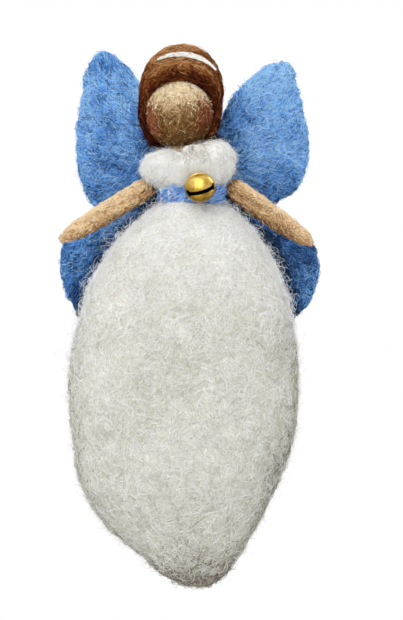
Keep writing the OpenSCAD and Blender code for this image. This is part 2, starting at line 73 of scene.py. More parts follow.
# Camera: square to the front, at 3 picture points to the millimetre
PICTURE_H = 620 / 3 * MM
CAMERA_AT = (6.5 * MM, -2.2, -53.3 * MM)
SENSOR = 36
camera = bpy.data.objects.new("camera", bpy.data.cameras.new("camera"))
scene.collection.objects.link(camera)
camera.location = CAMERA_AT
camera.rotation_euler = (math.radians(90), 0, 0)
camera.data.sensor_width = SENSOR
camera.data.lens = SENSOR * -CAMERA_AT[1] / PICTURE_H
camera.data.clip_end = 20
scene.camera = camera
scene.view_settings.view_transform = "Standard"


def srgb(r, g, b):
    """Linear colour of screen values from 0 to 255."""
    return tuple(((c / 255 + 0.055) / 1.055) ** 2.4 if c > 10 else c / 255 / 12.92
                 for c in (r, g, b))


# Odd multipliers, and shifts with multipliers, that scramble whole numbers
SCRAMBLE = (374761393, 668265263, 1442695041, 1274126177)
MIXERS = ((13, 1274126177), (15, 2246822519))
WORD, FRACTION = 0xFFFFFFFF, 0xFFFFFF


def lattice(i, j, k, seed):
    """Fixed number from 0 to 1 for each whole-number point."""
    h = sum(n * by for n, by in zip((i, j, k, seed), SCRAMBLE)) & WORD
    for shift, by in MIXERS:
        h = ((h ^ (h >> shift)) * by) & WORD
    return ((h ^ (h >> 16)) & FRACTION) / FRACTION


def lumps(points, size, seed):
    """Smooth noise from -1 to 1 whose lumps have that size."""
    q = points / size
    low = np.floor(q).astype(np.int64)
    f = q - low
    f = f * f * (3 - 2 * f)
    total = np.zeros(len(points))
    for corner in itertools.product((0, 1), repeat=3):
        share = np.ones(len(points))
        for axis, d in enumerate(corner):
            share *= f[:, axis] if d else 1 - f[:, axis]
        total += share * lattice(*(low + corner).T, seed)
    return 2 * total - 1


def unit(v):
    return v / np.maximum(np.linalg.norm(v, axis=-1, keepdims=True), 1e-12)


def in_mm(at):
    """x, y and z of points in millimetres."""
    return (at / MM).T


def ramp(low, high, x):
    """0 below low, 1 above high, smooth between."""
    u = np.clip((x - low) / (high - low), 0, 1)
    return u * u * (3 - 2 * u)


def hump(x, middle, reach):
    """1 in the middle, and nearly 0 at twice the reach from it."""
    return np.exp(-((x - middle) / reach) ** 2)


def through(x, points):
    """Straight lines through (place, value) points."""
    return np.interp(x, *zip(*points))


def link(name, mesh, *materials):
    """New object of a mesh, shaded smooth, in these materials."""
    piece = bpy.data.objects.new(name, mesh)
    scene.collection.objects.link(piece)
    for m in materials:
        mesh.materials.append(m)
    mesh.polygons.foreach_set("use_smooth", np.ones(len(mesh.polygons), bool))
    return piece


def vertices(mesh):
    co = np.zeros(len(mesh.vertices) * 3, np.float32)
    mesh.vertices.foreach_get("co", co)
    return co.reshape(-1, 3).astype(float)


def vertex_normals(mesh):
    no = np.zeros(len(mesh.vertices) * 3, np.float32)
    mesh.vertex_normals.foreach_get("vector", no)
    return no.reshape(-1, 3).astype(float)


def applied(piece):
    """Bakes the piece's modifiers into its mesh."""
    graph = bpy.context.evaluated_depsgraph_get()
    done = bpy.data.meshes.new_from_object(piece.evaluated_get(graph))
    done.name = piece.name
    piece.modifiers.clear()
    piece.data = done
    return piece


def felt_form(name, node, material, voxel, soften, dimples, seed, inset=0.15, groove=None):
    """Felted piece in the shape of a CAD node: even mesh, softened edges and dimpled skin.
    voxel, dimples as (size, depth) and inset, the room left for fibres on top, are in mm.
    groove adds creases."""
    mesh = nodes[node].data.copy()
    mesh.materials.clear()
    piece = link(name, mesh)
    even = piece.modifiers.new("even", "REMESH")
    even.mode = "VOXEL"
    even.voxel_size = voxel * MM
    soft = piece.modifiers.new("soft", "SMOOTH")
    soft.factor = 0.5
    soft.iterations = soften
    applied(piece)
    mesh = piece.data
    mesh.materials.append(material)
    co, no = vertices(mesh), vertex_normals(mesh)
    depth = sum(d * MM * lumps(co, size * MM, seed + k) for k, (size, d) in enumerate(dimples))
    depth -= inset * MM
    if groove is not None:
        depth -= groove(co)
    mesh.vertices.foreach_set("co", (co + no * depth[:, None]).astype(np.float32).ravel())
    mesh.polygons.foreach_set("use_smooth", np.ones(len(mesh.polygons), bool))
    mesh.update()
    return piece


def surface_points(mesh, count, rng):
    """Points spread evenly over a mesh, and the normals there."""
    mesh.calc_loop_triangles()
    corners = np.zeros(len(mesh.loop_triangles) * 3, np.int32)
    mesh.loop_triangles.foreach_get("vertices", corners)
    a, b, c = (vertices(mesh)[corners.reshape(-1, 3)[:, k]] for k in range(3))
    cross = np.cross(b - a, c - a)
    area = np.linalg.norm(cross, axis=1)
    pick = rng.choice(len(area), count, p=area / area.sum())
    u, v = rng.random((2, count, 1))
    flip = u + v > 1
    u, v = np.where(flip, 1 - u, u), np.where(flip, 1 - v, v)
    a, b, c = a[pick], b[pick], c[pick]
    return a + u * (b - a) + v * (c - a), unit(cross[pick])


def turned(v, axis, angle):
    """v turned about a unit axis at right angles to it."""
    return v * np.cos(angle)[:, None] + np.cross(axis, v) * np.sin(angle)[:, None]


def tubes(name, paths, ups, radii, shade, materials, sides=3):
    """One mesh of closed tubes along paths, an array of fibre by point by axis."""
    count, points = paths.shape[:2]
    along = unit(np.gradient(paths, axis=1))
    side = unit(np.cross(along, ups))
    top = np.cross(side, along)
    turn = np.arange(sides) * 2 * math.pi / sides
    ring = side[:, :, None] * np.cos(turn)[:, None] + top[:, :, None] * np.sin(turn)[:, None]
    co = paths[:, :, None] + ring * radii[:, :, None, None]
    one = []
    for j in range(points - 1):
        for a in range(sides):
            p, q = sides * j + a, sides * j + (a + 1) % sides
            one += [(p, p + sides, q), (q, p + sides, q + sides)]
    end = sides * (points - 1)
    for a in range(1, sides - 1):
        one += [(0, a, a + 1), (end + a + 1, end + a, end)]
    one = np.array(one)
    faces = (one[None] + (np.arange(count) * points * sides)[:, None, None]).reshape(-1, 3)
    mesh = bpy.data.meshes.new(name)
    mesh.vertices.add(count * points * sides)
    mesh.vertices.foreach_set("co", co.astype(np.float32).ravel())
    mesh.loops.add(faces.size)
    mesh.loops.foreach_set("vertex_index", faces.astype(np.int32).ravel())
    mesh.polygons.add(len(faces))
    mesh.polygons.foreach_set("loop_start", np.arange(0, faces.size, 3, dtype=np.int32))
    mesh.polygons.foreach_set("material_index", np.repeat(shade, len(one)).astype(np.int32))
    mesh.update(calc_edges=True)
    return link(name, mesh, *materials)


# How the fibres of one layer vary: shares of the length and the thickness, the thickness along
# a fibre, the shape of the spread of heights, the share of the curl that changes at each step,
# the depth of a fibre's buried ends, and the curve of a free fibre's rise
LENGTHS, THICKNESSES = (0.55, 1.45), (0.7, 1.3)
TAPER = ((0, 0.55), (0.25, 1), (0.7, 0.9), (1, 0.25))
HEIGHTS, WOBBLE, SINK, FREE_RISE = (2.0, 0.5), 0.7, 0.15 * MM, 1.3


def fibres(name, base, count, length, thick, lift, lay, materials, seed, free=0.0, spread=180,
           curl=20, steps=4, weights=None, pick=None, keep=None):
    """Wool fibres on a piece, each a tapered tube that follows its surface.
    length, thick and lift are in mm. lift is a fibre's height over the surface, in its middle
    where free is 0 and at its tip where free is 1. lay gives the main direction, spread the angle
    to both sides of it, curl the turn at each step, in degrees. pick gives a fibre's shade by its
    place, or weights the share of each shade. keep says which of the fibres stay."""
    rng = np.random.default_rng(seed)
    at, up = surface_points(base.data, count, rng)
    if keep is not None:
        inside = keep(at, up, rng)
        at, up = at[inside], up[inside]
    count = len(at)
    tree = BVHTree.FromObject(base, bpy.context.evaluated_depsgraph_get())
    way = lay(at, up)
    way = unit(way - up * np.sum(way * up, axis=1, keepdims=True))
    way = turned(way, up, np.radians(rng.uniform(-spread, spread, count)))
    size = length * MM * rng.uniform(*LENGTHS, count)
    height = lift * MM * rng.gamma(*HEIGHTS, count)
    bend = np.radians(rng.normal(0, curl, count))
    shade = pick(at, rng) if pick else rng.choice(len(materials), count, p=weights)
    paths, ups = np.zeros((count, steps + 1, 3)), np.zeros((count, steps + 1, 3))
    here = at
    for k in range(steps + 1):
        u = k / steps
        rise = (1 - free) * math.sin(math.pi * u) + free * u ** FREE_RISE
        paths[:, k] = here + up * (height * rise - SINK * (1 - rise))[:, None]
        ups[:, k] = up
        here = here + way * (size / steps)[:, None]
        found = [tree.find_nearest(p) for p in here.tolist()]
        here = np.array([f[0] for f in found])
        up = np.array([f[1] for f in found])
        way = unit(way - up * np.sum(way * up, axis=1, keepdims=True))
        way = turned(way, up, bend + np.radians(rng.normal(0, curl * WOBBLE, count)))
    taper = through(np.linspace(0, 1, steps + 1), TAPER)
    radii = thick * MM / 2 * rng.uniform(*THICKNESSES, (count, 1)) * taper
    return tubes(name, paths, ups, radii, shade, materials)


class Shader:
    """Builds a node material with short calls."""

    def __init__(self, name):
        self.material = bpy.data.materials.new(name)
        self.material.use_nodes = True
        self.tree = self.material.node_tree
        self.surface = self.tree.nodes["Principled BSDF"]
        self.place = self.add("ShaderNodeTexCoord").outputs["Object"]

    def add(self, kind, **values):
        node = self.tree.nodes.new(kind)
        for key, value in values.items():
            setattr(node, key, value)
        return node

    def join(self, output, target):
        self.tree.links.new(output, target)

    def paint(self, colour):
        self.join(colour, self.surface.inputs["Base Color"])

    def noise(self, scale, detail=3, distortion=0.0, rough=0.5):
        node = self.add("ShaderNodeTexNoise")
        node.inputs["Scale"].default_value = scale
        node.inputs["Detail"].default_value = detail
        node.inputs["Distortion"].default_value = distortion
        node.inputs["Roughness"].default_value = rough
        self.join(self.place, node.inputs["Vector"])
        return node.outputs["Fac"]

    def strands(self, scale):
        """Streaky noise like matted fibres."""
        return self.noise(scale, 5, distortion=3, rough=0.65)

    def math(self, operation, *values):
        node = self.add("ShaderNodeMath", operation=operation)
        for socket, value in zip(node.inputs, values):
            if isinstance(value, (int, float)):
                socket.default_value = value
            else:
                self.join(value, socket)
        return node.outputs[0]

    def vector(self, operation, a, b=None):
        """Vector operation on a socket and a fixed vector. Lengths come out as a number."""
        node = self.add("ShaderNodeVectorMath", operation=operation)
        self.join(a, node.inputs[0])
        if b is not None:
            node.inputs[1].default_value = b
        return node.outputs["Value" if operation in ("LENGTH", "DISTANCE") else "Vector"]

    def stops(self, fac, places, colours):
        """Colour ramp with screen colours at these places."""
        node = self.add("ShaderNodeValToRGB")
        line = node.color_ramp
        while len(line.elements) < len(places):
            line.elements.new(0.5)
        for element, place, colour in zip(line.elements, places, colours):
            element.position = place
            element.color = (*srgb(*colour), 1)
        self.join(fac, node.inputs["Fac"])
        return node.outputs["Color"]

    def mix(self, fac, a, b, blend="MIX"):
        node = self.add("ShaderNodeMix", data_type="RGBA", blend_type=blend)
        if isinstance(fac, float):
            node.inputs["Factor"].default_value = fac
        else:
            self.join(fac, node.inputs["Factor"])
        for socket, value in ((node.inputs[6], a), (node.inputs[7], b)):
            if isinstance(value, tuple):
                socket.default_value = (*value, 1)
            else:
                self.join(value, socket)
        return node.outputs[2]

    def spread(self, value, low, high):
        """0 at low, 1 at high, smooth between."""
        node = self.add("ShaderNodeMapRange", interpolation_type="SMOOTHSTEP")
        node.inputs["From Min"].default_value = low
        node.inputs["From Max"].default_value = high
        self.join(value, node.inputs["Value"])
        return node.outputs["Result"]

    def height(self, low, high):
        """Rises from 0 to 1 between two heights."""
        node = self.add("ShaderNodeSeparateXYZ")
        self.join(self.place, node.inputs[0])
        return self.spread(node.outputs["Z"], low, high)

    def bump(self, height, strength, distance):
        node = self.add("ShaderNodeBump")
        node.inputs["Strength"].default_value = strength
        node.inputs["Distance"].default_value = distance
        self.join(height, node.inputs["Height"])
        self.join(node.outputs["Normal"], self.surface.inputs["Normal"])

    def set(self, **values):
        for key, value in values.items():
            self.surface.inputs[key.replace("_", " ")].default_value = value


# Where the dark, middle and light colour of wool and metal lie on their noise
FELT_STOPS, BRASS_STOPS, METAL_STOPS = (0.36, 0.5, 0.64), (0.36, 0.52, 0.68), (0.35, 0.65)


def felt(name, dark, middle, light, cloud=180, cloudy=0.4, strand=2200, sheen=0.1, fade=None,
         chin=None):
    """Matted wool: cloudy colour, streaky strands and a rough fibrous skin.
    cloudy is the clouds' share, fade, a painted shade towards the bottom, is (lower height, upper
    height, tint at the lower one), and chin, a painted shadow under the chin, is (distance from the
    head to full colour, distance to none, colour)."""
    s = Shader(name)
    clouds = s.math("MULTIPLY", s.noise(cloud), cloudy)
    strands = s.strands(strand)
    fac = s.math("ADD", clouds, s.math("MULTIPLY", strands, 1 - cloudy))
    colour = s.stops(fac, FELT_STOPS, (dark, middle, light))
    if fade:
        low, high, tint = fade
        colour = s.mix(s.height(low, high), s.mix(1.0, colour, tint, "MULTIPLY"), colour)
    if chin:
        full, none, shadow = chin
        away = s.spread(s.vector("DISTANCE", s.place, HEAD), HEAD_R + full, HEAD_R + none)
        colour = s.mix(away, srgb(*shadow), colour)
    s.paint(colour)
    s.bump(strands, 0.35, 0.3 * MM)
    s.set(Roughness=0.95, Sheen_Weight=sheen, Sheen_Roughness=0.5, Sheen_Tint=(*srgb(*light), 1),
          Specular_IOR_Level=0.06)
    return s.material


def strand(name, colour):
    """One shade of loose wool fibre."""
    s = Shader(name)
    s.tree.nodes.remove(s.place.node)
    s.set(Base_Color=(*colour, 1), Roughness=0.7, Sheen_Weight=0.1, Sheen_Tint=(*colour, 1),
          Specular_IOR_Level=0.1)
    return s.material


def shades(name, *colours):
    return [strand(f"{name}_{k + 1}", srgb(*c)) for k, c in enumerate(colours)]


def by_tone(tone, materials, spread, lighter=0, deeper=0, under=2.0):
    """Picks shades, listed from the lightest to the darkest, by a tone from 1 to 0 at each place.
    The last shades, as many as deeper says, lie beyond 0, and only where the tone itself is under
    a level."""
    last = len(materials) - deeper - 1

    def pick(at, rng):
        level = tone(at) + lighter
        step = (1 - level) * last + rng.normal(0, spread, len(at))
        return np.clip(np.rint(step), 0, last + deeper * (level < under)).astype(int)
    return pick


def any_way(at, up):
    """Lays fibres without a main direction."""
    return np.where(np.abs(up[:, 2:]) < 0.9, np.array((0, 0, 1.0)), np.array((1.0, 0, 0)))


def round_face(at, up):
    """Lays hair in arcs round the face."""
    return np.cross(np.array((0, -1.0, 0)), at - HEAD)


def round_waist(at, up):
    """Lays the sash round the waist, climbing to the right in front."""
    out = unit(at - np.array((TORSO_X, 0, 0)))
    return np.cross(np.array((0, 0, 1.0)), out) + np.array((0, 0, 0.4))


def from_neck(at, up):
    """Lays bodice wool out from the V under the chin."""
    return at - np.array((1, -8, 4)) * MM


def from_root(at, up):
    """Lays wing felt out from the middle of the back."""
    return at - np.array((TORSO_X, 0.018, -0.006))


def downward(at, up):
    return np.repeat(np.array(((0, 0, -1.0),)), len(at), 0)


def up_or_down(at, up):
    """Lays fibres up in some spots and down in others."""
    spots = lumps(at, 2 * MM, CURL_WAYS)[:, None]
    return np.where(spots > 0, np.array((0, 0, 1.0)), np.array((0, 0, -1.0)))


def along_arm(side):
    sign = -1 if side == "left" else 1
    droop = math.radians(DROOPS[side])
    way = np.array((sign * math.cos(droop), 0, -math.sin(droop)))
    return lambda at, up: np.repeat(way[None], len(at), 0)


def dress(piece, body, slot, *replaced, fill=None):
    """Puts a piece on its body and hides the CAD nodes that it stands for. Its slot is not used."""
    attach(piece, body)
    if replaced:
        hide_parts(*replaced)
    return piece


def wad(name, node, body, slot, fill, **form):
    """Felted piece that stands for a CAD node."""
    return dress(felt_form(name, node, **form), body, slot, node, fill=fill)


def wool(name, base, body, slot, **layer):
    """Layer of loose fibres on a felted piece."""
    return dress(fibres(name, base, **layer), body, slot)


# Shades of loose fibre, from the lightest to the darkest. The last shade of the skirt, bodice,
# wings and skin is for painted shade.
SKIRT_SHADES = shades("skirt_strand", (255, 255, 255), (249, 250, 245), (239, 238, 228),
                      (224, 222, 208), (200, 196, 182), (138, 126, 114))
CURL_SHADES = shades("curl_strand", (253, 254, 254), (238, 241, 244))
BODICE_SHADES = shades("bodice_strand", (255, 255, 253), (250, 250, 246), (226, 225, 217),
                       (194, 189, 174), (158, 143, 112))
WING_SHADES = shades("wing_strand", (180, 223, 255), (136, 200, 255), (103, 168, 243),
                     (82, 141, 211), (58, 103, 164), (37, 66, 115), (24, 27, 52))
SASH_SHADES = shades("sash_strand", (190, 224, 255), (150, 200, 255), (114, 167, 242),
                     (68, 109, 180))
HAIR_SHADES = shades("hair_strand", (208, 164, 116), (186, 132, 78), (158, 98, 44),
                     (122, 66, 24), (92, 36, 9), (64, 19, 4), (40, 10, 3))
FACE_SHADES = shades("face_strand", (255, 244, 216), (240, 218, 176), (212, 182, 134),
                     (172, 134, 84), (132, 94, 48), (98, 64, 27))
CHEEK_SHADES = shades("cheek_strand", (200, 128, 100), (162, 86, 60), (122, 56, 33), (94, 38, 20))
SKIN_SHADES = shades("skin_strand", (255, 238, 204), (246, 215, 168), (226, 186, 132),
                     (194, 146, 90), (146, 97, 49), (92, 56, 26))
BAND_SHADES = shades("band_strand", (255, 254, 250), (240, 237, 229))

# Felt under the fibres
# The skirt's felt darkens towards its tip: painted shade.
SKIRT_TIP_SHADE = (-146 * MM, -128 * MM, (0.6, 0.57, 0.53))
skirt_felt = felt("skirt_felt", (206, 203, 192), (216, 214, 204), (225, 223, 214), cloudy=0.25,
                  strand=1700, fade=SKIRT_TIP_SHADE)
CHIN_SHADOW = (0.4 * MM, 2.2 * MM, (146, 114, 70))
bodice_felt = felt("bodice_felt", (240, 240, 235), (250, 250, 247), (254, 254, 252), cloudy=0.2,
                   chin=CHIN_SHADOW)
# The wings' felt darkens towards their lower ends: painted shade.
WING_LOW_SHADE = (-58 * MM, 4 * MM, (0.42, 0.42, 0.44))
wing_felt = felt("wing_felt", (66, 98, 148), (104, 146, 200), (140, 180, 228), cloud=110,
                 fade=WING_LOW_SHADE)
sash_felt = felt("sash_felt", (84, 114, 170), (134, 170, 226), (172, 206, 250))
hair_felt = felt("hair_felt", (44, 14, 4), (88, 40, 13), (134, 78, 34), sheen=0.04)
skin_felt = felt("skin_felt", (160, 114, 64), (212, 172, 118), (244, 214, 166))
band_felt = felt("band_felt", (220, 216, 206), (242, 240, 234), (252, 251, 248))
core_felt = felt("core_felt", (190, 186, 172), (210, 206, 192), (224, 221, 210))

# Rosy cheeks, in mm: middle, reach to full and to no colour, and how much taller than wide
CHEEKS = (((-10.3, -6.4, 8.4), 1.6, 6.2, 1.5), ((7.9, -8.4, 10.8), 1.6, 6.2, 1.5))
# How far down the cheek shades the left and the right cheek lie
CHEEK_DEPTHS = (1.1, 2.0)
CHIN_Z, BROW_Z = 6 * MM, 21.5 * MM


def face_colour():
    """Face wool: pale brow and dark ochre chin, painted light and shade, and rosy cheeks with
    uneven edges.
    """
    s = Shader("face_felt")
    strands = s.strands(2400)
    low = s.stops(strands, FELT_STOPS, ((88, 58, 26), (132, 96, 54), (168, 130, 82)))
    high = s.stops(strands, FELT_STOPS, ((168, 134, 88), (212, 184, 140), (248, 230, 194)))
    colour = s.mix(s.height(CHIN_Z, BROW_Z), low, high)
    rosy = s.stops(strands, FELT_STOPS, ((104, 50, 30), (146, 82, 58), (186, 118, 90)))
    patchy = s.noise(500)
    uneven = 3
    for middle, full, none, tall in CHEEKS:
        away = s.vector("SUBTRACT", s.place, [c * MM for c in middle])
        reach = s.vector("LENGTH", s.vector("MULTIPLY", away, (1, 1, 1 / tall)))
        reach = s.math("MULTIPLY_ADD", patchy, uneven * MM, reach)
        tint = s.spread(reach, (none + uneven / 2) * MM, (full + uneven / 2) * MM)
        colour = s.mix(s.math("MULTIPLY", tint, 0.8), colour, rosy)
    s.paint(colour)
    s.bump(strands, 0.6, 0.4 * MM)
    s.set(Roughness=0.95, Sheen_Weight=0.08, Sheen_Tint=(*srgb(246, 226, 188), 1),
          Specular_IOR_Level=0.06)
    return s.material


def rosiness(at):
    """Share of rosy fibres at each point of the face."""
    share = np.zeros(len(at))
    for middle, full, none, tall in CHEEKS:
        away = np.linalg.norm((at - np.array(middle) * MM) * (1, 1, 1 / tall), axis=1)
        share = np.maximum(share, 1 - ramp(full * MM, none * MM, away))
    return share


def face_light_and_shade(at):
    """Painted light at the brow and painted shade at the chin."""
    return 1.06 * ramp(CHIN_Z + 2 * MM, BROW_Z - 1 * MM, at[:, 2])


def face_shade(at, rng):
    """Paler fibres towards the brow and darker towards the chin, as painted light and shade, and
    rosy on the cheeks.
    """
    pale = by_tone(face_light_and_shade, FACE_SHADES, spread=1.6)(at, rng)
    red = np.rint(rng.normal(np.where(at[:, 0] < 0, *CHEEK_DEPTHS), 0.8))
    red = np.clip(red, 0, len(CHEEK_SHADES) - 1).astype(int)
    rosy = rng.random(len(at)) < 0.72 * rosiness(at)
    return np.where(rosy, len(FACE_SHADES) + red, pale)


# Skirt by height in mm: tone, painted lighter at the top and darker lower down, least tone, width
# of the painted shade along the edge and its strength
SKIRT_TONE = ((-146, 0.12), (-130, 0.32), (-108, 0.5), (-62, 0.54), (-36, 0.8), (-18, 1.04))
SKIRT_LEAST = ((-140, 0.06), (-104, 0.36))
SKIRT_EDGE_SHADE_W = ((-140, 3.6), (-70, 2.0))
SKIRT_EDGE_SHADE = ((-140, 0.65), (-105, 0.5), (-60, 0.35), (-40, 0))


def outside_skirt(at, rows=59):
    """Distance of points beside the skirt from its outline, as seen from the front."""
    co = vertices(skirt.data)
    levels = np.linspace(co[:, 2].min(), co[:, 2].max(), rows + 1)
    row = np.clip(np.digitize(co[:, 2], levels) - 1, 0, rows - 1)
    left = [co[row == k, 0].min() for k in range(rows)]
    right = [co[row == k, 0].max() for k in range(rows)]
    middle = (levels[1:] + levels[:-1]) / 2
    x, z = at[:, 0], at[:, 2]
    return np.maximum(np.interp(z, middle, left) - x, x - np.interp(z, middle, right))


def skirt_tone_and_shading(at):
    """Painted light at the top, duller in the middle of the front, and painted shade low on the
    right, towards the tip and along the outline, with soft random patches."""
    x, _, z = in_mm(at)
    front = hump(x, 4, 20) * hump(z, -66, 22)
    # low_right, edge and tip below darken the wool: painted shade.
    low_right = ramp(20, 34, x) * (1 - ramp(-70, -45, z))
    inward = -outside_skirt(at) / MM - 0.2
    edge = 1 - ramp(0, 1, inward / through(z, SKIRT_EDGE_SHADE_W))
    tip = 1 - ramp(-143, -137, z)
    tone = through(z, SKIRT_TONE)
    tone += 0.14 * lumps(at, 13 * MM, SKIRT_CLOUDS) + 0.1 * lumps(at, 4 * MM, SKIRT_SPOTS)
    tone = np.maximum(tone - 0.14 * front, through(z, SKIRT_LEAST))
    return tone - 0.18 * low_right - edge * through(z, SKIRT_EDGE_SHADE) - 0.7 * tip


# Wings by height in mm: tone, painted lighter above and darker below
WING_TONE = ((-58, 0.26), (-38, 0.4), (-14, 0.5), (6, 0.61), (33, 0.82))


def wing_tone_and_shading(at):
    """Painted shade towards the lower ends, the middle of the back and the skirt, painted light
    beside the head and on the upper right, with soft patches.
    """
    x, _, z = in_mm(at)
    aside = np.abs(x - TORSO_X / MM)
    upper_right = ramp(8, 20, x) * ramp(-12, 4, z)
    back = 1 - ramp(8, 20, aside)
    by_head = hump(aside, 20, 5) * ramp(-10, -2, z)
    by_skirt = (1 - ramp(1, 8, outside_skirt(at) / MM)) * (z < -12)
    right = (x > 0) * ramp(-42, -26, z)
    # upper_right and by_head are painted light; back and by_skirt are painted shade.
    tone = through(z, WING_TONE) + 0.08 * upper_right - 0.24 * back + 0.22 * by_head
    tone -= by_skirt * (0.75 + 0.45 * right)
    return tone + 0.32 * lumps(at, 11 * MM, WING_CLOUDS) + 0.32 * lumps(at, 4.5 * MM, WING_SPOTS)


def hair_tone_and_shading(at):
    """Painted shade along the face, at the sides and the lower ends; painted light, lighter on the
    roll and lightest on the crown."""
    way = unit(at - HEAD)
    aside, rise = way[:, 0], way[:, 2]
    hairline = 70 - 12 * np.clip(rise, 0, 1)
    past = np.degrees(np.arccos(np.clip(-way[:, 1], -1, 1))) - hairline
    roll, crown = ramp(0.12, 0.82, rise), ramp(0.84, 0.98, rise)
    sides = ramp(0.35, 0.7, np.abs(aside)) * ramp(0.3, 0.6, rise)
    by_face = hump(past, 0, 3)
    lit = hump(past, 8, 4) * ramp(0.2, 0.7, rise)
    tone = 0.13 + 0.5 * roll + 0.38 * crown + 0.05 * ramp(-0.6, 0.9, aside)
    tone += 0.16 * lit - 0.2 * sides - 0.45 * by_face
    return tone + 0.14 * lumps(at, 2.5 * MM, HAIR_SPOTS)


face_felt = face_colour()

# Dimples of the felt in mm: size and depth
SKIRT_DIMPLES = [(14, 0.5), (5, 0.2)]
WING_DIMPLES = [(9, 0.5), (4, 0.45), (1.8, 0.22)]
SMALL_DIMPLES = [(3, 0.16), (1.2, 0.1)]
FINE_DIMPLES = [(1.2, 0.05)]

# Skirt and torso
skirt = wad("skirt_pad", "skirt", "body", "skirt_wool", fill=0.7, material=skirt_felt, voxel=0.8,
            soften=6, dimples=SKIRT_DIMPLES, seed=11)
wad("torso_core_roll", "torso_core", "body", "core_wool", fill=0.9, material=core_felt, voxel=0.8,
    soften=3, dimples=SMALL_DIMPLES, seed=15)
wad("neck_roll", "neck", "body", "skin_wool", fill=0.9, material=skin_felt, voxel=0.45, soften=2,
    dimples=SMALL_DIMPLES, seed=17)

BORE_R = 7.6 * MM
LONG_FROM_Z, TIP_Z = -144.6 * MM, -138 * MM


def off_core(at, up, rng):
    """Leaves fibres off the skirt's bore."""
    return np.hypot(at[:, 0] - TORSO_X, at[:, 1]) > BORE_R


def off_tip(at, up, rng):
    """Leaves long fibres off the skirt's bore and its very tip, where they would stand out."""
    return off_core(at, up, rng) & (at[:, 2] > LONG_FROM_Z)


def at_tip(at, up, rng):
    """Keeps fibres to the skirt's tip."""
    return at[:, 2] < TIP_Z


def skirt_rim(at, up, rng):
    """Keeps loose fibres mostly to the skirt's edges."""
    share = np.where(np.abs(up[:, 1]) < 0.6, 1, 0.3)
    return off_core(at, up, rng) & (rng.random(len(at)) < share)


def over_wings(at, up, rng):
    """Keeps loose fibres to the skirt's edges, and mostly to those in front of the wings."""
    share = 0.12 + 0.88 * ramp(-76 * MM, -52 * MM, at[:, 2])
    edge = np.abs(up[:, 1]) < 0.55
    return off_core(at, up, rng) & edge & (rng.random(len(at)) < share)


def fuzz_tone(at):
    """Light in front of the wings, and below them as the skirt is, with its painted shade."""
    return np.where(at[:, 2] > -70 * MM, 0.85, np.maximum(skirt_tone_and_shading(at) + 0.2, 0.25))


# Layers of long skirt fibres: thickness and lift in mm, curl, and how much lighter
SKIRT_LAYERS = [(0.17, 0.35, 20, -0.12)] * 4 + [(0.13, 0.6, 22, 0.5)] * 2
for k, (thick, lift, curl, lighter) in enumerate(SKIRT_LAYERS):
    wool(f"skirt_fibres_{k + 1}", skirt, "body", "skirt_wool", count=7600, length=6.5, thick=thick,
         lift=lift, lay=any_way, materials=SKIRT_SHADES, seed=101 + k, free=0.1, curl=curl,
         keep=off_tip, pick=by_tone(skirt_tone_and_shading, SKIRT_SHADES, spread=0.9, lighter=lighter,
                                    deeper=1, under=0.15))
for k in range(3):
    wool(f"skirt_fuzz_{k + 1}", skirt, "body", "skirt_wool", count=13000, length=3, thick=0.09,
         lift=1.0, lay=any_way, materials=SKIRT_SHADES, seed=111 + k, free=0.85, curl=30,
         keep=skirt_rim, pick=by_tone(fuzz_tone, SKIRT_SHADES, spread=0.8, deeper=1, under=0.3))
wool("skirt_curls", skirt, "body", "skirt_wool", count=17000, length=6, thick=0.1, lift=2.2,
     lay=up_or_down, materials=CURL_SHADES, seed=115, free=0.6, spread=60, curl=42, steps=6,
     keep=over_wings, weights=(0.6, 0.4))
wool("skirt_tip_fuzz", skirt, "body", "skirt_wool", count=60000, length=2.6, thick=0.13, lift=0.8,
     lay=any_way, materials=SKIRT_SHADES, seed=116, free=0.5, curl=30, keep=at_tip,
     pick=by_tone(skirt_tone_and_shading, SKIRT_SHADES, spread=1.0, lighter=0.45, deeper=1, under=0.15))

# Bodice and sash
SEAM_X, SEAM_W, SEAM_FILL = 1.2 * MM, 3.4 * MM, 1.6 * MM


def seam_fill(co):
    """Wool worked over the seam between the bodice's halves, clear of the bell's shank."""
    low = 1 - ramp(-5 * MM, -1.5 * MM, co[:, 2])
    clear = ramp(2.5 * MM, 4.5 * MM, np.linalg.norm(co - BELL_HINGE, axis=1))
    return -SEAM_FILL * hump(co[:, 0], SEAM_X, SEAM_W) * low * clear * (co[:, 1] < 0)


def from_shoulder(at):
    """Distance of points from the nearer shoulder."""
    return np.min([np.linalg.norm(at - s, axis=1) for s in SHOULDERS.values()], axis=0)


def from_chin(at):
    """Distance of points from the head."""
    return np.linalg.norm(at - HEAD, axis=1) - HEAD_R


def bodice_tone_and_shading(at):
    """White, with painted shade under the chin, down the seam, by the arms and on the right half.
    """
    x, _, z = in_mm(at)
    chin = 1 - ramp(0.5 * MM, 5 * MM, from_chin(at))
    seam = hump(x, 0.4, 1.9 + 0.9 * np.maximum(z + 3, 0)) * ramp(-7, 0, z)
    arm = 1 - ramp(4 * MM, 9 * MM, from_shoulder(at))
    right = at[:, 0] > SEAM_X
    right_of_chin = hump(x, 6, 3.2) * hump(z, -0.8, 2.4)
    tone = 1.02 - 0.6 * chin - 0.6 * seam - 0.35 * arm - 0.12 * right - 0.45 * right_of_chin
    return tone + 0.12 * lumps(at, 3 * MM, BODICE_SPOTS)


def off_chin(at, up, rng):
    """Leaves fibres off the places right under the chin."""
    return from_chin(at) > 1 * MM


def by_arm(at, up, rng):
    """Keeps fibres to the front over the arms' shoulder ends."""
    return (from_shoulder(at) < 8.5 * MM) & (at[:, 1] < 0) & (at[:, 2] < -4 * MM)


def left_front(at, up, rng):
    """Keeps fibres to the front of the sash near the left arm."""
    return (at[:, 0] < -3.5 * MM) & (at[:, 1] < -2 * MM)


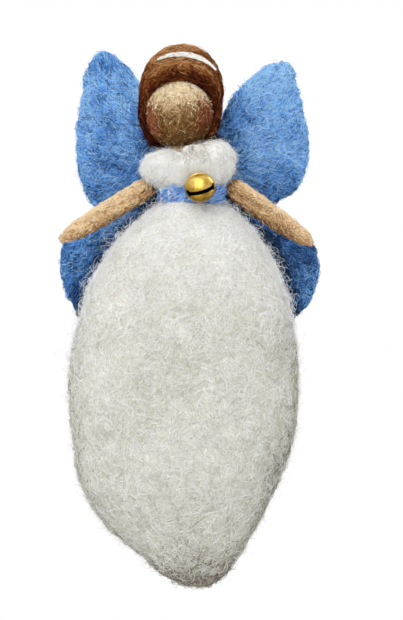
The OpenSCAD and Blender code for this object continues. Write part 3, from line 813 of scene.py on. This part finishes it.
pick_bodice = by_tone(bodice_tone_and_shading, BODICE_SHADES, spread=1.2, deeper=1, under=0.25)
for k, side in enumerate(SIDES):
    pad = wad(f"bodice_{side}_pad", f"bodice_{side}", "body", "bodice_wool", fill=0.6,
              material=bodice_felt, voxel=0.5, soften=5, dimples=SMALL_DIMPLES, seed=21 + k,
              groove=seam_fill)
    wool(f"bodice_{side}_fibres", pad, "body", "bodice_wool", count=7000, length=4.5, thick=0.16,
         lift=0.3, lay=from_neck, materials=BODICE_SHADES, seed=121 + k, free=0.15, spread=34,
         curl=16, pick=pick_bodice, keep=off_chin)
    wool(f"bodice_{side}_fuzz", pad, "body", "bodice_wool", count=5000, length=2.6, thick=0.075,
         lift=1.0, lay=from_neck, materials=BODICE_SHADES, seed=127 + k, free=0.85, spread=70,
         curl=24, pick=pick_bodice, keep=off_chin)
    wool(f"bodice_{side}_wisps", pad, "body", "bodice_wool", count=6000, length=3, thick=0.1,
         lift=1.3, lay=downward, materials=BODICE_SHADES, seed=129 + k, free=0.9, spread=45,
         curl=30, weights=(0.4, 0.3, 0.2, 0.1, 0), keep=by_arm)
sash = wad("sash_winding", "sash", "body", "sash_wool", fill=0.7, material=sash_felt, voxel=0.5,
           soften=4, dimples=SMALL_DIMPLES, seed=25)
wool("sash_fibres", sash, "body", "sash_wool", count=5000, length=4.5, thick=0.19, lift=0.35,
     lay=round_waist, materials=SASH_SHADES, seed=125, free=0.2, spread=20, curl=10,
     weights=(0.16, 0.3, 0.28, 0.26))
wool("sash_wisps", sash, "body", "sash_wool", count=1500, length=4, thick=0.16, lift=0.9,
     lay=round_waist, materials=BODICE_SHADES, seed=126, free=0.7, spread=50, curl=25,
     weights=(0.6, 0.3, 0.1, 0, 0), keep=left_front)

# Head
FACE_STRANDS = FACE_SHADES + CHEEK_SHADES
HAIR = (("hair_front_roll", "hair_front", 7500), ("hair_back_cap", "hair_back", 9500))


def nape(at, up, rng):
    """Keeps fibres to the underside of the hair's lower edge."""
    return (at[:, 2] < HEAD[2] - 0.5 * HEAD_R) & (up[:, 2] < -0.4)


head = wad("head_pad", "head_ball", "head", "face_wool", fill=0.9, material=face_felt, voxel=0.45,
           soften=2, dimples=SMALL_DIMPLES, seed=31, inset=0.05)
wool("face_fibres", head, "head", "face_wool", count=7500, length=2.6, thick=0.17, lift=0.3,
     lay=any_way, materials=FACE_STRANDS, seed=131, free=0.1, curl=42, pick=face_shade)
for k, side in enumerate(SIDES):
    pad = wad(f"cheek_{side}_tuft", f"cheek_{side}", "head", "cheek_wool", fill=0.4,
              material=face_felt, voxel=0.16, soften=1, dimples=FINE_DIMPLES, seed=33 + k, inset=0)
    wool(f"cheek_{side}_fibres", pad, "head", "cheek_wool", count=1100, length=2.4, thick=0.14,
         lift=0.2, lay=any_way, materials=FACE_STRANDS, seed=133 + k, curl=40, steps=3,
         pick=face_shade)
pick_hair = by_tone(hair_tone_and_shading, HAIR_SHADES, spread=1.5)
for k, (name, node, count) in enumerate(HAIR):
    pad = wad(name, node, "head", "hair_wool", fill=0.7, material=hair_felt, voxel=0.45, soften=4,
              dimples=SMALL_DIMPLES, seed=41 + k, inset=0.25)
    wool(name + "_fibres", pad, "head", "hair_wool", count=count, length=3.6, thick=0.16,
         lift=0.25, lay=round_face, materials=HAIR_SHADES, seed=141 + k, free=0.08, spread=26,
         curl=20, steps=3, pick=pick_hair)
# The hair's darkest shades under its lower edge: painted shade.
wool("nape_fibres", pad, "head", "hair_wool", count=30000, length=1.2, thick=0.15, lift=1.5,
     lay=downward, materials=HAIR_SHADES[4:], seed=144, free=1.0, spread=60, curl=20,
     weights=(0.2, 0.4, 0.4), keep=nape)
band = wad("headband_strip", "headband", "head", "band_wool", fill=0.5, material=band_felt,
           voxel=0.16, soften=3, dimples=FINE_DIMPLES, seed=45, inset=0)
wool("headband_fibres", band, "head", "band_wool", count=1200, length=2.4, thick=0.1, lift=0.1,
     lay=round_face, materials=BAND_SHADES, seed=145, free=0.1, spread=12, curl=10,
     weights=(0.6, 0.4))
wool("headband_hair", band, "head", "hair_wool", count=90, length=3, thick=0.11, lift=0.16,
     lay=round_face, materials=HAIR_SHADES[:4], seed=146, free=0.1, spread=26, curl=10,
     weights=(0.2, 0.3, 0.3, 0.2))

# Arms: the crease in front starts at an angle at the shoulder and turns by 1 radian in a length
CREASE_START, CREASE_TURN, CREASE_DEPTH = -0.4, 26 * MM, 0.6 * MM
# Tone of each arm's middle line
ARM_TONES = {"left": 0.76, "right": 0.52}


def arm_place(side, at):
    """Place of points on an arm: distance from the shoulder, height over the arm's middle line as
    a share of its radius, and angle from the crease that winds slowly along its front."""
    way = along_arm(side)(np.zeros((1, 3)), None)[0]
    front = np.array((0, -1.0, 0))
    rise = np.cross(front, way) * (1 if side == "right" else -1)
    away = at - SHOULDERS[side]
    run = away @ way
    angle = np.arctan2(away @ rise, away @ front) - (run / CREASE_TURN + CREASE_START)
    return run, away @ rise / ARM_R, np.angle(np.exp(1j * angle))


def arm_crease(side):
    def depth(co):
        run, _, turn = arm_place(side, co)
        ends = ramp(2 * MM, 6 * MM, run) * (1 - ramp(24 * MM, 32 * MM, run))
        return CREASE_DEPTH * hump(turn, 0, 0.22) * ends
    return depth


def arm_tone_and_shading(side):
    """Painted light on top and painted shade underneath, in the crease and by the shoulder, with a
    pale strand under the crease."""
    def tone(at):
        run, rise, turn = arm_place(side, at)
        shoulder = 1 - ramp(0.5 * MM, 6 * MM, run)
        crease = hump(turn, 0, 0.16) * (1 - ramp(20 * MM, 28 * MM, run))
        pale = hump(turn, -0.55, 0.14) * (1 - ramp(13 * MM, 18 * MM, run))
        return ARM_TONES[side] + 0.7 * rise - 0.5 * shoulder - 0.5 * crease + 0.7 * pale
    return tone


for k, side in enumerate(SIDES):
    pad = wad(f"arm_{side}_roll", f"arm_{side}", f"{side}_arm", "skin_wool", fill=0.9,
              material=skin_felt, voxel=0.35, soften=2, dimples=SMALL_DIMPLES, seed=51 + k,
              groove=arm_crease(side))
    wool(f"arm_{side}_fibres", pad, f"{side}_arm", "skin_wool", count=7500, length=3, thick=0.12,
         lift=0.22, lay=along_arm(side), materials=SKIN_SHADES, seed=151 + k, free=0.12, spread=48,
         curl=30, pick=by_tone(arm_tone_and_shading(side), SKIN_SHADES, spread=1.9, deeper=1))


# Wings
def root_top(at, up, rng):
    """Keeps fibres to the upper edge of the wing root."""
    return at[:, 2] > -4 * MM


root = wad("wing_root_pad", "wing_root", "body", "wing_felt", fill=0.8, material=wing_felt,
           voxel=0.6, soften=3, dimples=WING_DIMPLES, seed=61)
pick_wing = by_tone(wing_tone_and_shading, WING_SHADES, spread=1.8, deeper=1)
pick_curls = by_tone(wing_tone_and_shading, WING_SHADES[:-1], spread=1.2, lighter=0.35)
wool("wing_root_fibres", root, "body", "wing_felt", count=2000, length=4, thick=0.14, lift=0.3,
     lay=any_way, materials=WING_SHADES, seed=161, curl=25, pick=pick_wing)
wool("wing_root_fuzz", root, "body", "wing_felt", count=9000, length=1.6, thick=0.15, lift=2.2,
     lay=any_way, materials=WING_SHADES, seed=162, free=1.0, curl=25, pick=pick_wing,
     keep=root_top)
for k, (side, level) in enumerate(itertools.product(SIDES, ("upper", "lower"))):
    wing, body = f"wing_{level}_{side}", f"{side}_wing"
    pad = wad(f"{wing}_pad", wing, body, "wing_felt", fill=0.8, material=wing_felt, voxel=0.6,
              soften=3, dimples=WING_DIMPLES, seed=65 + 3 * k)
    wool(f"{wing}_fibres", pad, body, "wing_felt", count=9400, length=4.4, thick=0.18, lift=0.4,
         lay=from_root, materials=WING_SHADES, seed=165 + k, free=0.1, spread=44, curl=28, steps=3,
         pick=pick_wing)
    wool(f"{wing}_curls", pad, body, "wing_felt", count=1500, length=7, thick=0.11, lift=0.6,
         lay=from_root, materials=WING_SHADES, seed=171 + k, free=0.1, spread=70, curl=40, steps=6,
         pick=pick_curls)

# Bell: steps round its shell, and the bead's size, flatness and half gap
ROUND, BEAD, BEAD_FLAT, BEAD_GAP = 128, 0.16 * MM, 0.75, 0.06


def arc(radius, sign, start, end, count):
    """Points (radius from the axis, height) of an arc about the bell's centre."""
    return [(radius * math.cos(a), sign * radius * math.sin(a))
            for a in np.linspace(start, end, count)]


def shell_half(name, sign):
    """Half of the bell's shell about its own centre, the shank's way up: sign is 1 for the shank's
    half and -1 for the slotted half. The halves meet at a bead round the middle."""
    inner = BELL_R - BELL_WALL
    outside = [(BELL_R + BEAD * math.sin(a),
                sign * BEAD * (BEAD_FLAT - BEAD_FLAT * math.cos(a) + BEAD_GAP))
               for a in np.linspace(0.3, math.pi, 6)]
    outside += arc(BELL_R, sign, 0.07, math.pi / 2, 36)[:-1]
    inside = arc(inner, sign, math.pi / 2, 0.003, 24)[1:]
    turns = [2 * math.pi * i / ROUND for i in range(ROUND)]
    bm = bmesh.new()
    rings = [[bm.verts.new((r * math.cos(t), r * math.sin(t), z)) for t in turns]
             for r, z in outside + inside]
    pole_out = bm.verts.new((0, 0, sign * BELL_R))
    pole_in = bm.verts.new((0, 0, sign * inner))
    for k, ring in enumerate(rings):
        after = rings[(k + 1) % len(rings)]
        for i in range(ROUND):
            j = (i + 1) % ROUND
            if k == len(outside) - 1:
                bm.faces.new((ring[i], ring[j], pole_out))
                bm.faces.new((pole_in, after[j], after[i]))
            else:
                bm.faces.new((ring[i], ring[j], after[j], after[i]))
    bmesh.ops.recalc_face_normals(bm, faces=bm.faces)
    mesh = bpy.data.meshes.new(name)
    bm.to_mesh(mesh)
    bm.free()
    return link(name, mesh)


def made_by(name, operator, **values):
    """New object of a bmesh shape."""
    made = bmesh.new()
    operator(made, **values)
    mesh = bpy.data.meshes.new(name)
    made.to_mesh(mesh)
    made.free()
    return link(name, mesh)


def slot_cutters():
    """Cutters for the slot and for the round hole at each of its ends."""
    reach = BELL_R * math.sin(math.radians(SLOT_HOLE_T))
    box = (Matrix.Translation((0, 0, -BELL_R * 0.75))
           @ Matrix.Diagonal((2 * reach, SLOT_W, BELL_R * 1.5, 1)))
    made = [made_by("slot_cutter", bmesh.ops.create_cube, size=1, matrix=box)]
    for sign in (-1, 1):
        hole = made_by("hole_cutter", bmesh.ops.create_cone, cap_ends=True, segments=40,
                       radius1=SLOT_HOLE_R, radius2=SLOT_HOLE_R, depth=BELL_R)
        tilt = Matrix.Rotation(sign * math.radians(180 - SLOT_HOLE_T), 4, "Y")
        hole.data.transform(tilt @ Matrix.Translation((0, 0, BELL_R)))
        made.append(hole)
    for c in made:
        c.data.transform(Matrix.Rotation(math.radians(-SLOT_TILT), 4, "Z"))
    return made


def brass_with_painted_light():
    """Brass with painted reflections: light above and dark below."""
    s = Shader("brass")
    wear, fine = s.noise(420, 4), s.noise(2600)
    painted_lit_brass = s.stops(wear, BRASS_STOPS, ((196, 158, 66), (222, 186, 92), (236, 206, 122)))
    painted_shaded_brass = s.stops(wear, BRASS_STOPS, ((112, 84, 22), (162, 126, 40), (204, 166, 68)))
    s.paint(s.mix(s.height(BELL[2] - 0.9 * BELL_R, BELL[2] + 0.8 * BELL_R), painted_shaded_brass, painted_lit_brass))
    s.join(s.math("MULTIPLY_ADD", wear, 0.12, 0.26), s.surface.inputs["Roughness"])
    s.bump(fine, 0.03, 0.1 * MM)
    s.set(Metallic=1.0)
    return s.material


def metal(name, scale, dark, light, roughness):
    s = Shader(name)
    s.paint(s.stops(s.noise(scale, 4), METAL_STOPS, (dark, light)))
    s.set(Metallic=1.0, Roughness=roughness)
    return s.material


brass = brass_with_painted_light()
steel = metal("steel", 900, (120, 118, 114), (170, 168, 164), 0.4)
# Near-black brass for the shell's inner faces: painted shade inside the bell.
brass_inside_painted_shade = metal("brass_inside_painted_shade", 900, (24, 17, 6), (52, 38, 14), 0.7)
# The pea is near black: painted shade inside the bell.
painted_dark_pea = metal("pea_painted_dark", 1200, (38, 35, 32), (66, 62, 58), 0.6)

at_bell = (Matrix.Translation(BELL) @ Matrix.Rotation(math.radians(BELL_YAW), 4, "Z")
           @ Matrix.Rotation(math.radians(BELL_PITCH - 90), 4, "X"))
cutters = slot_cutters()
for name, node, sign in (("bell_top_shell", "bell_top", 1), ("bell_cup_shell", "bell_cup", -1)):
    half = shell_half(name, sign)
    if sign < 0:
        for c in cutters:
            cut = half.modifiers.new("slot", "BOOLEAN")
            cut.operation = "DIFFERENCE"
            cut.object = c
        lips = half.modifiers.new("lips", "BEVEL")
        lips.width = 0.13 * MM
        lips.segments = 3
        lips.limit_method = "ANGLE"
        lips.angle_limit = math.radians(40)
        applied(half)
    half.data.materials.clear()
    half.data.materials.append(brass)
    half.data.materials.append(brass_inside_painted_shade)
    for face in half.data.polygons:
        face.use_smooth = True
        # Inner faces take the near-black brass: painted shade.
        face.material_index = int(face.center.dot(face.normal) < -0.5 * face.center.length)
    half.data.transform(at_bell)
    dress(half, "bell", "bell_brass", node)
for c in cutters:
    bpy.data.objects.remove(c)
for name, material in (("bell_shank", brass), ("bell_pea", painted_dark_pea), ("shoulder_wire", steel),
                       ("arm_wire_left", steel), ("arm_wire_right", steel)):
    nodes[name].data.materials.clear()
    nodes[name].data.materials.append(material)

# Threads: two twisted strands each, and the length of one twist
TWIST = 1.3 * MM
thread = felt("thread_twist", (196, 194, 184), (216, 214, 205), (232, 230, 223), strand=3000)


def two_ply(name, line, up, body, node):
    """Twisted thread along a line of points, with a direction that the line never takes."""
    along = unit(np.gradient(line, axis=0))
    side = unit(np.cross(along, up))
    top = np.cross(side, along)
    steps = np.linalg.norm(np.diff(line, axis=0), axis=1)
    turn = np.concatenate(([0], np.cumsum(steps))) / TWIST * 2 * math.pi
    plies = []
    for start in (0, math.pi):
        out = side * np.cos(turn + start)[:, None] + top * np.sin(turn + start)[:, None]
        plies.append(line + THREAD_D / 4 * out)
    shape = (2, len(line))
    piece = tubes(name, np.array(plies), np.broadcast_to(up, (*shape, 3)),
                  np.full(shape, THREAD_D * 0.26), np.zeros(2), [thread], sides=8)
    return dress(piece, body, "thread", node)


turn = np.linspace(0, 2 * math.pi * NECK_TURNS, 240)
climb = THREAD_PITCH * (turn / (2 * math.pi) - NECK_TURNS / 2) + NECK_TIE_Z
winding = np.stack((NECK_R * np.cos(turn), NECK_R * np.sin(turn), climb), axis=1)
two_ply("neck_thread_winding", winding, np.array((0, 0, 1.0)), "body", "neck_thread")
turn = np.linspace(0, 2 * math.pi, 60)
ring = (np.zeros(len(turn)), STITCH_R * np.cos(turn), EYE_Z + STITCH_R * np.sin(turn))
bell_turn = np.array(at_bell.to_3x3())
ring = np.stack(ring, axis=1) @ bell_turn.T + BELL
two_ply("bell_stitch", ring, bell_turn @ (1, 0, 0), "body", "bell_thread")


def backdrop_rays(tree):
    """1 for the rays that see the backdrop: straight, mirrored and through glass."""
    path = tree.nodes.new("ShaderNodeLightPath")
    seen = path.outputs["Is Camera Ray"]
    for ray in ("Is Glossy Ray", "Is Transmission Ray"):
        either = tree.nodes.new("ShaderNodeMath")
        either.operation = "MAXIMUM"
        tree.links.new(seen, either.inputs[0])
        tree.links.new(path.outputs[ray], either.inputs[1])
        seen = either.outputs[0]
    return seen


# Floor that catches the shadow and goes over into the white backdrop between two distances
FLOOR_Z, FLOOR_R, FLOOR_TO, WHITE_FROM = -0.18, 1.5, 0.05, 0.14
ground = Shader("floor")
ground.set(Base_Color=(0.9, 0.9, 0.9, 1), Roughness=0.9)
far = ground.spread(ground.vector("LENGTH", ground.place), FLOOR_TO, WHITE_FROM)
white = ground.add("ShaderNodeEmission")
blend = ground.add("ShaderNodeMixShader")
ground.join(ground.math("MULTIPLY", far, backdrop_rays(ground.tree)), blend.inputs["Fac"])
ground.join(ground.surface.outputs["BSDF"], blend.inputs[1])
ground.join(white.outputs["Emission"], blend.inputs[2])
ground.join(blend.outputs["Shader"], ground.tree.nodes["Material Output"].inputs["Surface"])
floor = made_by("floor", bmesh.ops.create_circle, cap_ends=True, radius=FLOOR_R, segments=96)
floor.data.materials.append(ground.material)
floor.location.z = FLOOR_Z

# World: white backdrop, and light from the surroundings, straight below and straight above
SKY_LOW, SKY_HIGH = 0.12, 0.64
world = bpy.data.worlds.new("studio")
scene.world = world
world.use_nodes = True
tree = world.node_tree
tree.nodes.clear()
way = tree.nodes.new("ShaderNodeTexCoord")
upward = tree.nodes.new("ShaderNodeSeparateXYZ")
tree.links.new(way.outputs["Generated"], upward.inputs[0])
sky = tree.nodes.new("ShaderNodeMapRange")
for socket, value in (("From Min", -1), ("From Max", 1), ("To Min", SKY_LOW), ("To Max", SKY_HIGH)):
    sky.inputs[socket].default_value = value
tree.links.new(upward.outputs["Z"], sky.inputs["Value"])
ambient = tree.nodes.new("ShaderNodeBackground")
ambient.inputs["Color"].default_value = (0.97, 0.98, 1, 1)
tree.links.new(sky.outputs["Result"], ambient.inputs["Strength"])
backdrop = tree.nodes.new("ShaderNodeBackground")
backdrop.inputs["Color"].default_value = (1, 1, 1, 1)
backdrop.inputs["Strength"].default_value = 1
mixed = tree.nodes.new("ShaderNodeMixShader")
tree.links.new(backdrop_rays(tree), mixed.inputs["Fac"])
tree.links.new(ambient.outputs[0], mixed.inputs[1])
tree.links.new(backdrop.outputs[0], mixed.inputs[2])
out = tree.nodes.new("ShaderNodeOutputWorld")
tree.links.new(mixed.outputs[0], out.inputs["Surface"])

# Lamps: place, size and power, all aimed at one point
LAMPS = {"key": ((-0.22, -0.9, 0.8), 1.0, 11.0), "fill": ((-0.2, -1.1, 0.1), 0.8, 3.4),
         "back": ((0.55, 1.0, 0.5), 1.0, 9.0)}
LIT_POINT = Vector((0.004, 0, -0.05))
for name, (place, size, power) in LAMPS.items():
    light = bpy.data.lights.new(name, "AREA")
    light.size = size
    light.energy = power
    lamp = bpy.data.objects.new(name, light)
    scene.collection.objects.link(lamp)
    lamp.location = place
    lamp.rotation_euler = (LIT_POINT - Vector(place)).to_track_quat("-Z", "Y").to_euler()
